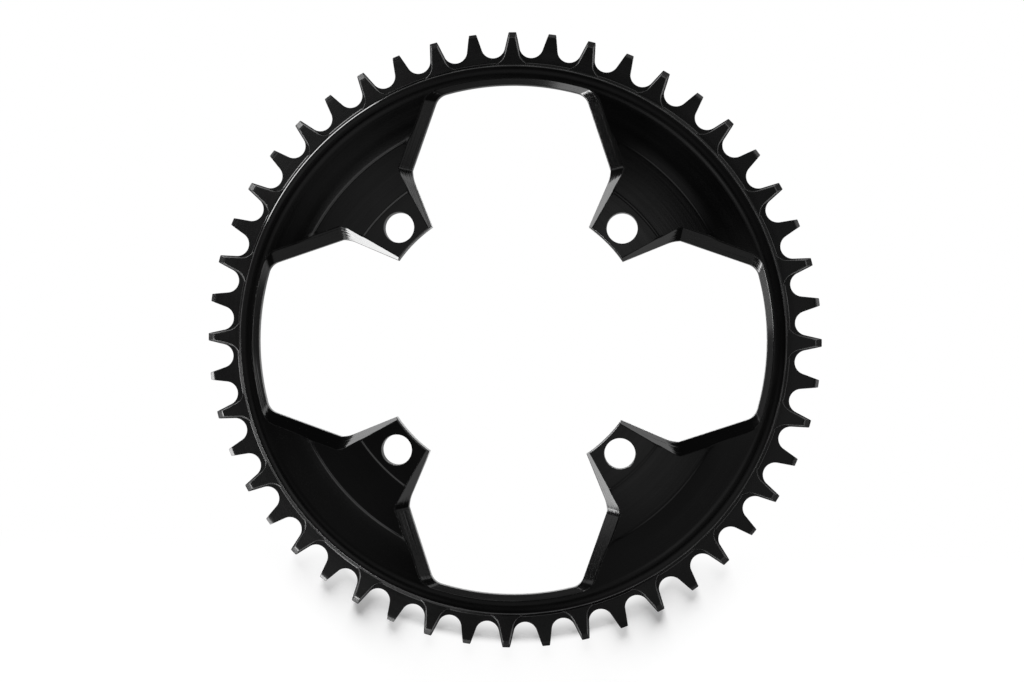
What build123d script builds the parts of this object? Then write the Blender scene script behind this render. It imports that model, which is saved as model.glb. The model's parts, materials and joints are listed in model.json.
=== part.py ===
from build123d import *
import math
import os

# Narrow-wide bicycle chainring, milled in one piece from aluminium plate.
# It lies on its back: the axis is Z, the outer face looks up, and the backs of
# the wide teeth and the rim rest on Z = 0. Lengths are millimetres.

# Chain and teeth
tooth_count = 48
chain_pitch = 12.7
roller_seat_r = 3.97
tooth_height = 4.46
flank_angle = 12.7
wide_thickness = 3.9
narrow_thickness = 2.1
wide_tip_length = 2.2
wide_tip_thickness = 1.7
narrow_tip_length = 1.4
narrow_tip_thickness = 1.2

# Raised pads that make every second tooth a wide one
pad_ledge = 0.25
pad_flare_r = 4.4
pad_flare_chamfer = 2.4
pad_dip = 0.5
wall_draft = 28.5

# Rim: the shelf under the rollers, the lip wall and the turned outer face
shelf_width = 1.82
rim_width = 7.3
front_height = 5.4
lip_bevel = 0.25
rim_back_width = 3.4
relief_depth = 1.4

# Turned outer face: dish, web face and bolt seats
dish_width = 16.1
dish_depth = 0.45
dish_outer_slope = 4.5
dish_inner_slope = 5.1
crease_drop = 0.1
web_drop = 0.2
seat_rise = 0.1
step_width = 0.5
seat_margin = 7.0

# Arms and bolt holes
arm_count = 4
first_arm_angle = 45.0
bolt_circle_d = 104.0
bolt_hole_d = 10.1
tab_end = 6.82
arm_half_width = 11.0
arm_half_angle = 22.4
web_start = 10.1
web_angle = 63.9
notch_r = 2.5
corner_r = 4.0

# Bevels round the opening, from their foot on the wall to the outer face
bevel_depth = 1.75
web_bevel = 4.3
rim_bevel = 2.2
arm_bevel = 3.05
arm_top_half_width = 9.1
arm_top_half_angle = 15.9
tab_bevel = 1.75
tab_top_bevel = 0.35
notch_spread = 3.5
corner_spread = 3.0
bevel_overrun = 0.2

# Joined features reach this far into each other, and cutters this far past what they cut
merge_depth = 0.15
overcut = 2.0

# Corners this close to a place count as being there
near = 0.01

# Circles of the tooth ring
pitch_r = chain_pitch / (2 * math.sin(math.pi / tooth_count))
root_r = pitch_r - roller_seat_r
tip_r = pitch_r + tooth_height
tooth_step = 360.0 / tooth_count
gap_half = tooth_step / 2
flank_slope = math.tan(math.radians(flank_angle))
draft_slope = math.tan(math.radians(wall_draft))

# Heights
middle_z = wide_thickness / 2
narrow_top_z = middle_z + narrow_thickness / 2
narrow_back_z = middle_z - narrow_thickness / 2
bevel_foot_z = front_height - web_drop - bevel_depth

# Radii of the rim and of the turned face
lip_base_r = root_r - shelf_width
lip_top_r = lip_base_r - (front_height - narrow_top_z) * draft_slope
opening_r = lip_base_r - rim_width
crease_r = lip_top_r - dish_width
bolt_r = bolt_circle_d / 2
seat_r = bolt_r + seat_margin
tab_r = bolt_r - tab_end


def polar(radius, degrees):
    """Point at a radius and an angle about the axis."""
    return (radius * math.cos(math.radians(degrees)), radius * math.sin(math.radians(degrees)))


def turned(points, degrees):
    """Points turned about the axis."""
    c = math.cos(math.radians(degrees))
    s = math.sin(math.radians(degrees))
    return [(c * x - s * y, s * x + c * y) for x, y in points]


def crossing(point_a, angle_a, point_b, angle_b):
    """Point where two lines meet, each given by a point and a direction in degrees."""
    ax, ay = math.cos(math.radians(angle_a)), math.sin(math.radians(angle_a))
    bx, by = math.cos(math.radians(angle_b)), math.sin(math.radians(angle_b))
    dx, dy = point_b[0] - point_a[0], point_b[1] - point_a[1]
    t = (dx * by - dy * bx) / (ax * by - ay * bx)
    return (point_a[0] + t * ax, point_a[1] + t * ay)


def on_circle(point, angle, radius):
    """Point where a line, followed along its direction in degrees, meets a circle."""
    c, s = math.cos(math.radians(angle)), math.sin(math.radians(angle))
    along = point[0] * c + point[1] * s
    t = -along + math.sqrt(along**2 - point[0] ** 2 - point[1] ** 2 + radius**2)
    return (point[0] + t * c, point[1] + t * s)


def seat_end():
    """Point where a roller seat runs into the flank, for a gap centred on the X axis."""
    lean = math.radians(gap_half + flank_angle)
    return (pitch_r - roller_seat_r * math.sin(lean), roller_seat_r * math.cos(lean))


def half_width_at(radius):
    """Half the width of a tooth between its flanks, measured along its centre line."""
    x, y = seat_end()
    along, across = turned([(x, -y)], gap_half)[0]
    return across - (radius - along) * flank_slope


def gear_face():
    """Outline of all the teeth: roller seats joined by straight flanks and flat tips."""
    foot = seat_end()
    head = on_circle(foot, gap_half + flank_angle, tip_r)
    edges = []
    for i in range(tooth_count):
        at = gap_half + i * tooth_step
        low_head, low_foot = turned([(head[0], -head[1]), (foot[0], -foot[1])], at)
        high_foot, high_head = turned([foot, head], at)
        next_head = turned([(head[0], -head[1])], at + tooth_step)[0]
        edges.append(Line(low_head, low_foot))
        edges.append(ThreePointArc(low_foot, polar(root_r, at), high_foot))
        edges.append(Line(high_foot, high_head))
        edges.append(Line(high_head, next_head))
    return make_face(edges)


def pad_face(height, rounded):
    """Outline of one wide tooth's pad at a height, drawn in by the draft of its sides.

    Its foot flares out to the lip, in an arc where rounded and else in a straight line.
    """
    rise = (height - narrow_top_z) * draft_slope
    inset = pad_ledge + rise
    outer = tip_r + merge_depth
    shelf = lip_base_r - pad_dip - rise
    inner = shelf - overcut
    flare = pad_flare_r + inset
    neck = half_width_at(shelf) - inset
    nose = half_width_at(outer) - inset
    side = neck + flare / math.tan(math.radians(45 + flank_angle / 2)) + merge_depth
    points = [(outer, -nose), (outer, nose), (shelf, neck), (shelf, side)]
    points += [(inner, side), (inner, -side), (shelf, -side), (shelf, -neck)]
    face = make_face(Polyline(points, close=True))
    corners = [v for v in face.vertices() if abs(v.X - shelf) < near and abs(v.Y) < side - near]
    if rounded:
        face = fillet(corners, flare)
    else:
        face = chamfer(corners, pad_flare_chamfer + inset)
    return Pos(0, 0, height) * face


def pad(rounded):
    """One wide tooth's pad, standing on the front of the narrow tooth band."""
    low = narrow_top_z - merge_depth
    high = middle_z + wide_thickness / 2
    return loft([pad_face(low, rounded), pad_face(high, rounded)], ruled=True)


def tip_wedge(thickness, tip_length, tip_thickness):
    """Wedge that bevels the front of one tooth from its face down to its tip."""
    face_z = middle_z + thickness / 2
    fall = (thickness - tip_thickness) / 2
    beyond = fall * (tip_length + overcut) / tip_length
    points = [
        (tip_r - tip_length, face_z),
        (tip_r + overcut, face_z - beyond),
        (tip_r + overcut, face_z + overcut),
        (tip_r - tip_length, face_z + overcut),
    ]
    width = half_width_at(tip_r - tip_length) + overcut
    section = make_face(Polyline([(r, -width, z) for r, z in points], close=True))
    return extrude(section, 2 * width, dir=(0, 1, 0))


def around(front, behind, first):
    """Copies of a front feature, and of one turned to the back, on every second tooth from the first."""
    back = mirror(behind, Plane.XY.offset(middle_z))
    copies = []
    for i in range(first, tooth_count, 2):
        turn = Rot(0, 0, i * tooth_step)
        copies.append(turn * front)
        copies.append(turn * back)
    return copies


def body():
    """Turned disc: bolt seats, web face, dish and lip in front, rim and relief behind."""
    web_z = front_height - web_drop
    seat_z = web_z + seat_rise
    crease_z = web_z - crease_drop
    floor_z = front_height - dish_depth
    inner_r = tab_r - overcut
    crest_r = lip_top_r - lip_bevel
    wall_r = lip_base_r + merge_depth * draft_slope
    back_lip_r = lip_base_r - narrow_back_z * draft_slope
    rim_r = back_lip_r - rim_back_width
    chain = [
        (inner_r, seat_z),
        (inner_r, relief_depth),
        (rim_r - relief_depth, relief_depth),
        (rim_r, 0),
        (back_lip_r, 0),
        (wall_r, narrow_back_z + merge_depth),
        (wall_r, narrow_top_z - merge_depth),
        (lip_top_r + lip_bevel * draft_slope, front_height - lip_bevel),
        (crest_r, front_height),
        (crest_r - dish_outer_slope, floor_z),
        (crease_r + step_width + dish_inner_slope, floor_z),
        (crease_r + step_width, crease_z),
        (crease_r, web_z),
        (seat_r + step_width, web_z),
        (seat_r, seat_z),
    ]
    section = make_face(Polyline([(r, 0, z) for r, z in chain], close=True))
    return revolve(section, Axis.Z)


def opening_face(half_width, half_angle, web_shift, rim_r, end_r, notch, corner):
    """Outline of the cross-shaped opening that leaves the arms standing.

    half_width and half_angle give an arm's side at the bolt circle, web_shift moves the
    web's edge into the metal, and notch and corner round the two inner corners.
    """
    slope = math.tan(math.radians(arm_half_angle))
    notch_foot = (bolt_r + web_start, arm_half_width + web_start * slope)
    lean = math.radians(web_angle)
    web_point = (notch_foot[0] + web_shift * math.sin(lean), notch_foot[1] - web_shift * math.cos(lean))
    side_point = (bolt_r, half_width)
    tab_corner = on_circle(side_point, half_angle, end_r)
    notch_corner = crossing(side_point, half_angle, web_point, web_angle)
    rim_corner = on_circle(web_point, web_angle, rim_r)
    half = [tab_corner, notch_corner, rim_corner]
    arm_step = 360.0 / arm_count
    edges = []
    for i in range(arm_count):
        at = first_arm_angle + i * arm_step
        low_tab, low_notch, low_rim = turned([(x, -y) for x, y in half], at)
        tab, notch_p, rim = turned(half, at)
        next_rim = turned([(rim_corner[0], -rim_corner[1])], at + arm_step)[0]
        edges.append(Line(low_rim, low_notch))
        edges.append(Line(low_notch, low_tab))
        edges.append(ThreePointArc(low_tab, polar(end_r, at), tab))
        edges.append(Line(tab, notch_p))
        edges.append(Line(notch_p, rim))
        edges.append(ThreePointArc(rim, polar(rim_r, at + arm_step / 2), next_rim))
    face = make_face(edges)
    for target, radius in ((notch_corner, notch), (rim_corner, corner)):
        reach = math.hypot(*target)
        picked = [v for v in face.vertices() if abs(math.hypot(v.X, v.Y) - reach) < near]
        face = fillet(picked, radius)
    return face


def bevel_section(k):
    """Opening outline at a share k of the bevel's depth, 0 at its foot and 1 at the outer face."""
    spread = arm_bevel / math.cos(math.radians(arm_top_half_angle))
    face = opening_face(
        arm_top_half_width + (1 - k) * spread,
        arm_top_half_angle,
        k * web_bevel,
        opening_r + k * rim_bevel,
        tab_r + tab_top_bevel - (1 - k) * tab_bevel,
        notch_r + k * notch_spread,
        corner_r + k * corner_spread,
    )
    return Pos(0, 0, bevel_foot_z + k * bevel_depth) * face


def opening_cutter():
    """Straight-walled cross with the sloping bevel on top of it."""
    straight = opening_face(arm_half_width, arm_half_angle, 0, opening_r, tab_r, notch_r, corner_r)
    prism = extrude(Pos(0, 0, -overcut) * straight, front_height + 2 * overcut)
    bevel = loft([bevel_section(-bevel_overrun), bevel_section(1 + bevel_overrun)], ruled=True)
    return [prism, bevel]


def bolt_cutters():
    """Through holes on the bolt circle, one in each arm."""
    holes = []
    for i in range(arm_count):
        x, y = polar(bolt_r, first_arm_angle + i * 360.0 / arm_count)
        bore = Cylinder(bolt_hole_d / 2, front_height + 2 * overcut)
        holes.append(Pos(x, y, front_height / 2) * bore)
    return holes


def tooth_band():
    """Flat ring of narrow teeth, reaching inwards under the lip."""
    inner = Circle(lip_base_r - 2 * overcut)
    return extrude(Pos(0, 0, narrow_back_z) * (gear_face() - inner), narrow_thickness)


def chainring():
    """The finished ring: turned body, tooth band and wide pads, less tips, opening and bolt holes."""
    wide_wedge = tip_wedge(wide_thickness, wide_tip_length, wide_tip_thickness)
    narrow_wedge = tip_wedge(narrow_thickness, narrow_tip_length, narrow_tip_thickness)
    wedges = around(wide_wedge, wide_wedge, 0) + around(narrow_wedge, narrow_wedge, 1)
    blank = body().fuse(tooth_band(), *around(pad(True), pad(False), 0))
    return blank.cut(*wedges, *opening_cutter(), *bolt_cutters())


ring = chainring()
ring.label = "chainring"
os.makedirs("parts", exist_ok=True)
export_step(ring, "parts/chainring.step")
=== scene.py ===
"""Looks of a narrow-wide bicycle chainring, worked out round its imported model."""

import json
import math
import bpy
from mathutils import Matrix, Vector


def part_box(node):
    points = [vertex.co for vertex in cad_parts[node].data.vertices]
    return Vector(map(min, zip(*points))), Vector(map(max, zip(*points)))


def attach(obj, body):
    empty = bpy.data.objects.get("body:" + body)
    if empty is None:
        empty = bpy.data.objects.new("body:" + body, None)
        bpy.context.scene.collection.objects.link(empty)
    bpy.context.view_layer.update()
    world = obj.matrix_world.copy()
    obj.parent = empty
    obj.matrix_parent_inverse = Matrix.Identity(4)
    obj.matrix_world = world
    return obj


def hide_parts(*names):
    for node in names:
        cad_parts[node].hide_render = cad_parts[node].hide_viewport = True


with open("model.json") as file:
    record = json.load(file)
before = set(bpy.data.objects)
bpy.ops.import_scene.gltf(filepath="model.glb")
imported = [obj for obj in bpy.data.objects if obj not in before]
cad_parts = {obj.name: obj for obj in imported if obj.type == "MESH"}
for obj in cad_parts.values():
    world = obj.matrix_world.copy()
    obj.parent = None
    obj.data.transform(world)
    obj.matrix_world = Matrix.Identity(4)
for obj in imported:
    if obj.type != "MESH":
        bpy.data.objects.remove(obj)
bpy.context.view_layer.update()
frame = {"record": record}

from types import SimpleNamespace

import bmesh
import bpy
import numpy as np
from bpy.props import FloatProperty, FloatVectorProperty, IntProperty, PointerProperty

bl_info = {
    "name": "Chainring",
    "version": (1, 0, 0),
    "blender": (4, 5, 0),
    "location": "View3D > Sidebar > Chainring",
    "description": "Builds a narrow-wide bicycle chainring and the studio it lies in",
    "category": "Add Mesh",
}

MM = 0.001
NODE = "chainring"
CARRIER = "root"
CLIMB = "bevel_climb"

# Soft panels of the studio: turn and tilt in degrees, width and height in metres, brightness
PANELS = (
    ("bank_upper_left", 138, 65, 0.60, 0.30, 2.7),
    ("bank_upper_left_low", 140, 80, 0.70, 0.20, 7.0),
    ("bank_left", 194, 55, 0.40, 0.30, 8.0),
    ("bank_left_low", 194, 71, 0.46, 0.20, 0.6),
    ("bank_lower_left_dim", 213, 60, 0.31, 0.34, 3.2),
    ("bank_lower_left", 229, 60, 0.28, 0.34, 9.0),
    ("bank_lower_left_end", 246, 57, 0.33, 0.53, 1.4),
    ("bank_right", 28, 50, 0.76, 0.26, 1.0),
    ("bank_upper_right", 58, 55, 0.27, 0.27, 1.1),
    ("bank_upper_right_end", 83, 52, 0.58, 0.25, 0.5),
    ("bank_lower_right", 322, 53, 0.88, 0.30, 0.4),
    ("bank_right_end", 356, 48, 0.50, 0.18, 1.3),
    ("card_right", 14, 35, 0.20, 0.12, 0.6),
    ("card_right_below", 357, 33, 0.13, 0.14, 0.17),
    ("card_left", 170, 42, 0.20, 0.14, 0.40),
    ("card_below", 262, 37, 0.50, 0.16, 0.14),
    ("card_upper_left", 141, 31, 0.36, 0.28, 0.45),
    ("card_lower_left", 220, 31, 0.30, 0.28, 0.45),
)

# Soft light patches on the dark ceiling: turn, tilt, inner and outer reach in degrees, brightness
PATCHES = (
    ("ceiling_above", 94, 4.4, 1.0, 3.0, 0.31),
    ("ceiling_below", 272, 4.5, 0.8, 3.2, 0.18),
    ("ceiling_below_left", 212, 6.3, 0.5, 3.4, 0.11),
    ("ceiling_middle", 0, 1.2, 0.3, 2.8, 0.09),
    ("ceiling_right_rim", 0, 8.5, 2, 6, 0.15),
    ("ceiling_left", 153, 11, 1.5, 4.5, 0.17),
    ("ceiling_upper_left", 142, 21, 2, 6, 0.10),
    ("ceiling_lower_left", 213, 19, 2, 8, 0.05),
    ("ceiling_left_below", 206, 11, 2, 5, 0.025),
    ("ceiling_upper_right", 60, 14, 2, 4.5, 0.12),
    ("ceiling_lower_right", 294, 10, 4, 10, 0.06),
    ("ceiling_right", 52, 28, 3, 8, 0.28),
    ("ceiling_right_below", 308, 27, 3, 8, 0.22),
)

# Light of the room's walls: upward part of the way looked along, one straight up, and brightness
WALL_STOPS = ((0.0, 1.0), (0.04, 0.6), (0.2, 0.45), (0.34, 0.2),
              (0.5, 0.1), (0.64, 0.03), (0.85, 0.02), (1.0, 0.012))

# Where the camera sees the table clear of shadow, because painted plain white covers the real
# shadow, each from where it starts to where it is full: inward from the teeth's tips, up from the
# lower teeth, towards the middle, and past the tips
PAINTED_CLEAR_INWARD = 10 * MM
PAINTED_CLEAR_ABOVE = (-94 * MM, -68 * MM)
PAINTED_CLEAR_MIDDLE = (50 * MM, 22 * MM)
PAINTED_CLEAR_BEYOND = (98 * MM, 101.5 * MM)
PAINTED_CLEAR_MIDDLE_MOST = 0.92

TABLE_HALF = 25.0
PANEL_POWER = 4.0  # watts per square metre for a brightness of one

# Meshes: distances within which points are merged, and the angle from which an edge is sharp
MERGED_WITHIN = 0.002 * MM
SLIVER_UNDER = 0.0005 * MM
SHARP_FROM = math.radians(33)

# Numbers of points along the outlines and of rows over a rounded edge
EDGE_ROWS = 4
FOOT_ROWS = 6
BEND_POINTS = 5
TIP_POINTS = 3
TIP_CORNER_POINTS = 5
FLANK_POINTS = 18
SEAT_POINTS = 15
HOLE_POINTS = 96
BACK_ROWS = 8
OPENING_POINTS = SimpleNamespace(end=13, side=17, notch=25, web=25, corner=13, rim=21)

# Body: softened share at either end of a small step, how far a bevel's ruling is followed as a
# share of its length, how often that is halved, and the most of a bevel that its edges may take;
# then where the lip's crest starts, in widths of its rounding, and how far out and down the wall
# below the lip runs on inside the tooth ring, in heights of its foot's rounding
STEP_SOFT = 0.2
RULING_REACH = 1.3
HALVINGS = 40
EDGE_SHARE = 0.2
CREST_RUN = 3
SUNK = np.array([0.2, -0.4])

# Teeth: rounds in which a pad's inset settles, the most of a pad's side that its edge may take, and
# the first flat row inside a tooth's softened edge, in widths of that edge
INSET_ROUNDS = 4
PAD_EDGE_SHARE = 0.4
FLAT_FROM = 1.5

# Finish: share of the marks' depth that the grain, the turned rings and the tooth marks have, how
# many broad bands of dulling there are to a mark, and the climb over which the milled streaks take
# over from the turned rings
GRAIN_SHARE = 0.12
RING_SHARE = 0.18
CUT_SHARE = 0.3
BANDS_PER_MARK = 0.31
ON_BEVEL = (0.05 * MM, 0.2 * MM)

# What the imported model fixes: the tips' reach, the ring's height and the bolt circle
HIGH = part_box(NODE)[1]
BOLTS = next(m["dims"] for m in frame["record"]["mounts"] if m["kind"] == "bolt_pattern")


def length(name, description, millimetres):
    """Length property whose default is given in millimetres."""
    return FloatProperty(name=name, description=description, default=millimetres * MM,
                         unit="LENGTH", subtype="DISTANCE", precision=5)


def angle(name, description, degrees):
    """Angle property whose default is given in degrees."""
    return FloatProperty(name=name, description=description, default=math.radians(degrees),
                         unit="ROTATION", subtype="ANGLE")


def colour(name, description, rgb):
    """Colour property, in linear values."""
    return FloatVectorProperty(name=name, description=description, default=rgb, size=3,
                               min=0.0, max=1.0, subtype="COLOR")


def amount(name, description, default, least=0.0):
    """Plain number with a least value."""
    return FloatProperty(name=name, description=description, default=default, min=least)


def share(name, description, default):
    """Property that runs from nothing to all."""
    return FloatProperty(name=name, description=description, default=default,
                         min=0.0, max=1.0, subtype="FACTOR")


class ToothSizes(bpy.types.PropertyGroup):
    """Sizes of the roller seats and of the narrow and wide teeth."""

    count: IntProperty(name="Teeth", description="Number of teeth, an even number",
                       default=48, min=8)
    pitch: length("Chain pitch", "Distance between two rollers of the chain", 12.7)
    seat_r: length("Roller seat", "Radius of the seat between two teeth", 3.97)
    flank: angle("Flank angle", "Slope of a tooth's flank against its centre line", 12.7)
    wide: length("Wide thickness", "Thickness of a wide tooth", 3.9)
    narrow: length("Narrow thickness", "Thickness of a narrow tooth", 2.1)
    wide_tip: length("Wide tip length", "Length of the bevel at a wide tooth's tip", 2.2)
    wide_tip_thickness: length("Wide tip thickness", "Thickness of a wide tooth at its tip", 1.7)
    narrow_tip: length("Narrow tip length", "Length of the bevel at a narrow tooth's tip", 1.4)
    narrow_tip_thickness: length("Narrow tip thickness",
                                 "Thickness of a narrow tooth at its tip", 1.2)
    ledge: length("Pad ledge", "Ledge between a flank and the wide tooth's raised pad", 0.25)
    flare_r: length("Pad flare", "Radius in which a pad runs out to the lip", 4.4)
    dip: length("Pad dip", "How far a pad's flare reaches in under the lip", 0.5)
    draft: angle("Wall draft", "Slope of the pads' sides and the lip against the axis", 28.5)
    tip_round: length("Tip rounding", "Radius of a tooth tip's corners", 0.28)
    edge_round: length("Tooth edge rounding", "Width of the softened edges of the teeth", 0.12)


class BodySizes(bpy.types.PropertyGroup):
    """Sizes of the rim, the turned outer face and the back."""

    shelf: length("Roller shelf", "Width of the flat between the roller seats and the lip", 1.82)
    rim: length("Rim width", "Width of the rim between the lip and the opening", 7.3)
    rim_back: length("Back rim width", "Width of the land that the ring lies on", 3.4)
    relief: length("Back relief", "Depth of the relieved back behind the web", 1.4)
    dish: length("Dish width", "Width of the dish between the lip and the web's crease", 16.1)
    dish_depth: length("Dish depth", "Depth of the dish below the lip", 0.45)
    dish_outer: length("Dish rise", "Width over which the dish curves up to the lip", 4.5)
    dish_inner: length("Dish fall", "Width over which the dish curves down from the crease", 5.1)
    web_drop: length("Web drop", "Depth of the web face below the lip", 0.2)
    seat_rise: length("Bolt seat rise", "Height of the bolt seats above the web face", 0.1)
    seat_margin: length("Bolt seat margin", "Distance of the seats' edge from the bolt circle", 7.0)
    crease_drop: length("Crease drop",
                        "Height of the small step from the web down to the dish", 0.1)
    step_width: length("Step width", "Width of the small steps on the turned face", 0.5)
    lip_bevel: length("Lip bevel", "Width and depth of the bevel on the lip", 0.25)
    lip_round: length("Lip rounding", "Width of the softened edges of the lip", 0.07)
    foot_round: length("Lip foot rounding",
                       "Height of the rounding between the lip's wall and the shelf", 0.3)
    back_round: length("Back rounding", "Width of the softened edges behind", 0.25)


class OpeningSizes(bpy.types.PropertyGroup):
    """Sizes of the arms and of the bevels round the opening."""

    arms: IntProperty(name="Arms", description="Number of arms", default=4, min=2)
    first_arm: angle("First arm", "Direction of the first arm", 45.0)
    tab_end: length("Tab end", "Distance from the bolt circle to the arm's end", 6.82)
    half_width: length("Arm half width", "Half the arm's width at the bolt circle", 11.0)
    half_angle: angle("Arm half angle", "Slope of an arm's side against its centre line", 22.4)
    web_start: length("Web start", "Distance from the bolt circle to the notch", 10.1)
    web_angle: angle("Web angle", "Slope of the web's edge against the arm's centre line", 63.9)
    notch_r: length("Notch radius", "Radius between an arm's side and the web's edge", 12.0)
    notch_crease: angle("Notch crease",
                        "Angle at which the notch's rounding meets the web's bevel", 20.0)
    corner_r: length("Corner radius", "Radius between the web's edge and the rim", 5.0)
    depth: length("Bevel depth", "Height of the bevel round the opening", 1.75)
    web_bevel: length("Web bevel", "Width of the bevel along the web", 4.3)
    rim_bevel: length("Rim bevel", "Width of the bevel along the rim", 2.2)
    arm_bevel: length("Arm bevel", "Width of the bevel along an arm", 3.05)
    top_half_width: length("Arm top half width",
                           "Half the arm's flat width at the bolt circle", 9.1)
    top_half_angle: angle("Arm top half angle", "Slope of the flat's edge on an arm", 15.9)
    tab_bevel: length("Tab bevel", "Full width of the bevel at an arm's end", 1.75)
    tab_top: length("Tab bevel left", "Width of that bevel that the end wall leaves", 0.35)
    notch_spread: length("Notch spread", "Growth of the notch radius up the bevel", -6.0)
    corner_spread: length("Corner spread", "Growth of the corner radius up the bevel", 1.5)
    edge_round: length("Bevel edge rounding", "Width of the softened edges of the bevels", 0.14)
    hole_round: length("Bolt hole rounding", "Width of the broken edge of the bolt holes", 0.15)


class Finish(bpy.types.PropertyGroup):
    """Black anodising over machined aluminium."""

    black: colour("Black", "Colour of the anodised skin", (0.0003, 0.0003, 0.00032))
    pale: colour("Pale black", "Colour of the skin where the dye took less",
                 (0.0012, 0.0012, 0.00125))
    tooth_black: colour("Tooth black", "Colour of the skin on the teeth",
                        (0.0008, 0.0008, 0.00082))
    tooth_pale: colour("Pale tooth black", "Colour of the teeth where the dye took less",
                       (0.0085, 0.0085, 0.0087))
    roughness: share("Body roughness", "Roughness of the turned and milled body", 0.11)
    tooth_roughness: share("Tooth roughness", "Roughness of the cut teeth", 0.22)
    unevenness: share("Unevenness", "How much marks and clouds change the roughness", 0.06)
    ior: FloatProperty(name="Skin index", description="Refractive index of the sealed oxide skin",
                       default=1.75, min=1.0, max=3.0)
    mark_depth: length("Mark depth", "Depth of the marks that the cutter left", 0.02)
    turning: length("Turning marks", "Spacing of the rings on the turned face", 0.42)
    milling: length("Milling marks", "Spacing of the streaks along the bevels", 0.55)
    hobbing: length("Tooth marks", "Spacing of the marks on the teeth", 0.34)
    mark_run: length("Mark length", "Length over which a mark stays alike", 32.0)
    grain: length("Grain", "Size of the oxide's fine grain", 0.28)
    cloud: length("Clouds", "Size of the patches where the dye differs", 13.0)


class Studio(bpy.types.PropertyGroup):
    """White table, its lamps and the camera above it."""

    table: colour("Table", "Colour of the table", (0.8, 0.8, 0.8))
    glow: share("Table glow", "White that the table adds to what the lamps give it", 0.26)
    shadow_from: length("Shadow from",
                        "Distance from the ring's axis at which its shadow shows", 101.5)
    walls: amount("Wall light", "Strength of the room's walls", 1.0)
    panels: amount("Panel light", "Strength of all the soft panels together", 1.0)
    panel_reach: length("Panel reach", "Distance of the panels from the ring", 1200.0)
    sun: amount("Shadow lamp", "Strength of the lamp that casts the shadow", 10.2)
    sun_tilt: angle("Shadow lamp tilt", "Angle of that lamp from straight above", 74.0)
    sun_turn: angle("Shadow lamp turn", "Direction that lamp shines from", 92.0)
    sun_size: angle("Shadow lamp size", "Width of that lamp as the ring sees it", 45.0)
    lens: amount("Lens", "Focal length of the camera, in millimetres", 47.04, least=1.0)
    camera_at: FloatVectorProperty(name="Camera place", description="Where the camera stands",
                                   default=(0.03843, -0.0004, 0.44264), size=3,
                                   unit="LENGTH", subtype="TRANSLATION")
    camera_turn: FloatVectorProperty(name="Camera turn", description="How the camera is turned",
                                     default=[math.radians(a) for a in (0.0505, 4.8754, 0.5833)],
                                     size=3, unit="ROTATION", subtype="EULER")


# Shared arithmetic


def polar(radius, turn):
    """Points at a radius and an angle: x = radius cos(turn), y = radius sin(turn)."""
    return np.stack([radius * np.cos(turn), radius * np.sin(turn)], -1)


def arc(centre, radius, start, end, count):
    """Points along an arc: the centre plus a polar point whose angle runs evenly from start to
    end."""
    return np.asarray(centre) + polar(radius, np.linspace(start, end, count))


def line(start, end, count):
    """Points along a straight line, spaced evenly."""
    return np.linspace(start, end, count)


def lifted(points, height):
    """Plan points raised to a height, which is one number or one for each point."""
    return np.column_stack([points, np.broadcast_to(height, len(points))])


def turned(points, turn):
    """Points turned about the Z axis by an angle."""
    c, s = math.cos(turn), math.sin(turn)
    spun = points.copy()
    spun[:, 0] = c * points[:, 0] - s * points[:, 1]
    spun[:, 1] = s * points[:, 0] + c * points[:, 1]
    return spun


def unit(vectors):
    """Vectors divided by their lengths."""
    return vectors / np.linalg.norm(vectors, axis=-1, keepdims=True)


def left_of(way):
    """Way in plan turned a quarter to the left: (x, y) becomes (-y, x)."""
    return np.array([-way[1], way[0]])


def soft_min(a, b, width):
    """The lesser of two values, rounded where they meet: half of a + b less the root of
    their difference squared plus the width squared."""
    return (a + b - np.sqrt((a - b) ** 2 + width**2)) / 2


def rounded_edge(before, corner, after, count):
    """Rows of points that round an edge: quadratic curves from before to after, drawn
    towards the corner, for every point along the edge."""
    t = np.linspace(0, 1, count)[:, None, None]
    return list((1 - t) ** 2 * before + 2 * t * (1 - t) * corner + t**2 * after)


def softened(profile, width):
    """A profile with its inner corners rounded: each becomes a quadratic curve that starts and
    ends the width away from it, with one more point beyond either end."""
    points = np.array(profile)
    rows = [points[:1]]
    for before, corner, after in zip(points[:-2], points[1:-1], points[2:]):
        back, on = unit(before - corner) * width, unit(after - corner) * width
        t = np.linspace(0, 1, BEND_POINTS)[:, None]
        bend = corner + (1 - t) ** 2 * back + t**2 * on
        rows += [corner[None] + 2 * back, bend, corner[None] + 2 * on]
    return np.concatenate(rows + [points[-1:]])


def line_crossing(point_a, turn_a, point_b, turn_b):
    """Point where two lines meet, each given by a point and its direction."""
    a, b = polar(1.0, turn_a), polar(1.0, turn_b)
    gap = point_b - point_a
    reach = (gap[0] * b[1] - gap[1] * b[0]) / (a[0] * b[1] - a[1] * b[0])
    return point_a + reach * a


def line_to_circle(point, turn, radius):
    """Point where a line, followed along its direction, meets a circle about the origin."""
    way = polar(1.0, turn)
    along = point @ way
    return point + way * (math.sqrt(along**2 - point @ point + radius**2) - along)


# Meshes


def quads_of(rows, columns, closed_rows=False, closed_columns=False):
    """Corner numbers of the quads of a grid that is stored row by row."""
    index = np.arange(rows * columns).reshape(rows, columns)
    if closed_rows:
        index = np.concatenate([index, index[:1]], 0)
    if closed_columns:
        index = np.concatenate([index, index[:, :1]], 1)
    corners = (index[:-1, :-1], index[:-1, 1:], index[1:, 1:], index[1:, :-1])
    return np.stack([c.ravel() for c in corners], -1)


def grid(rows):
    """Points and quads of an open grid, given as a list of rows of points."""
    return np.concatenate(rows), quads_of(len(rows), len(rows[0]))


def joined(parts):
    """Several lots of points and quads as one."""
    starts = np.cumsum([0] + [len(points) for points, _ in parts[:-1]])
    points = np.concatenate([points for points, _ in parts])
    quads = np.concatenate([quads + start for start, (_, quads) in zip(starts, parts)])
    return points, quads


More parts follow.
